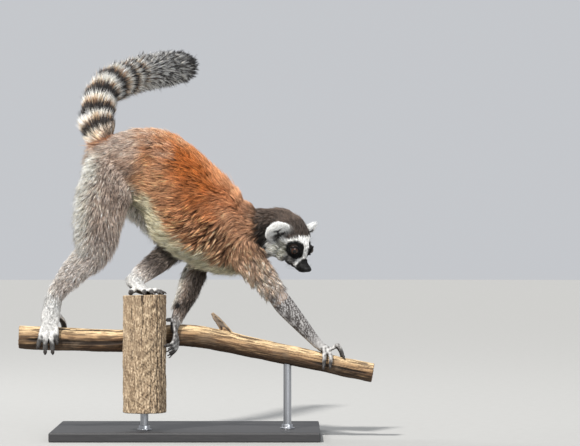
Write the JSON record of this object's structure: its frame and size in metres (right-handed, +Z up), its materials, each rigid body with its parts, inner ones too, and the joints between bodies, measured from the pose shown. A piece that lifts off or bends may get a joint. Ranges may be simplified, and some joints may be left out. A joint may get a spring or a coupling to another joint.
{
  "type": "ring-tailed lemur display model",
  "caption": "Life-size ring-tailed lemur walking along a cut length of pole past a post, head low, tail raised and swung aside, held on a flat display stand.",
  "frame": {"origin": "on the underside of the flat base, below the pole and between the front and hind legs; that underside is Z = 0", "axes": "+X from the hindquarters to the head along the pole, +Y to the animal's left, +Z up"},
  "size_m": [0.5333, 0.5745, 0.6039],
  "materials": {
    "coat": "fur over skin, matt",
    "eye": "wet, glossy",
    "bare_wood": "weathered, bare",
    "stand_board": "dark satin lacquer",
    "steel": "satin"
  },
  "bodies": {
    "root": {"chest": "coat", "ear_left": "coat", "ear_right": "coat", "eye_left": "eye", "eye_right": "eye", "foot_left": "coat", "foot_right": "coat", "forearm_left": "coat", "forearm_right": "coat", "hand_left": "coat", "hand_right": "coat", "head": "coat", "neck": "coat", "perch_pole": "bare_wood", "perch_post": "bare_wood", "rump": "coat", "shank_left": "coat", "shank_right": "coat", "stand_base": "stand_board", "stand_rod_pole": "steel", "stand_rod_post": "steel", "tail_1": "coat", "tail_2": "coat", "tail_3": "coat", "tail_4": "coat", "tail_5": "coat", "thigh_left": "coat", "thigh_right": "coat", "upper_arm_left": "coat", "upper_arm_right": "coat"}
  },
  "joints": []
}
